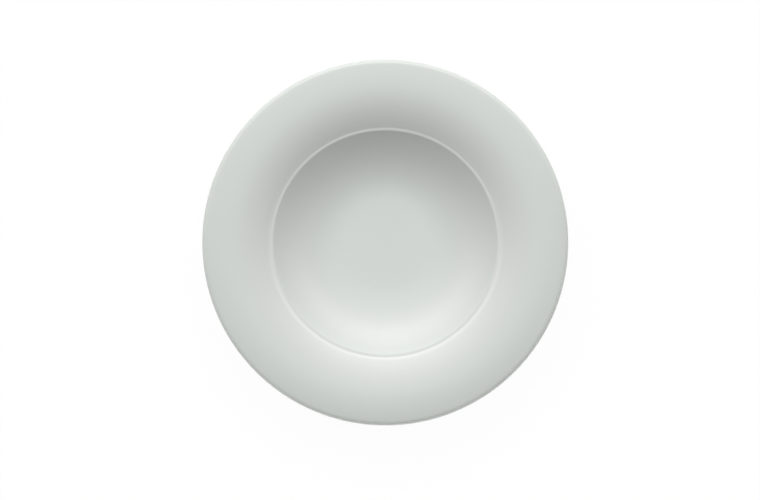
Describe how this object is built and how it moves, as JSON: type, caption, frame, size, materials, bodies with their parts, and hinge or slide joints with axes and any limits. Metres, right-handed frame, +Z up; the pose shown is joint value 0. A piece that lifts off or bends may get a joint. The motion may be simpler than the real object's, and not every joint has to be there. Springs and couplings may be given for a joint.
{
  "type": "rimmed soup plate",
  "caption": "Round glazed porcelain soup plate with a deep rounded well, a narrow verge ledge, a wide domed rim, a rolled edge and a bare foot ring.",
  "frame": {"origin": "middle of the foot ring's standing face, on the surface that the plate stands on", "axes": "+Z up along the plate's axis of revolution, out of the open well; +X and +Y lie in the standing face, and the plate is the same in every direction round +Z"},
  "size_m": [0.24, 0.24, 0.0343],
  "materials": {
    "porcelain": "matte",
    "glaze": "gloss"
  },
  "bodies": {
    "root": {"porcelain_body": "porcelain", "glaze_coat": "glaze", "base_glaze": "glaze"}
  },
  "joints": []
}
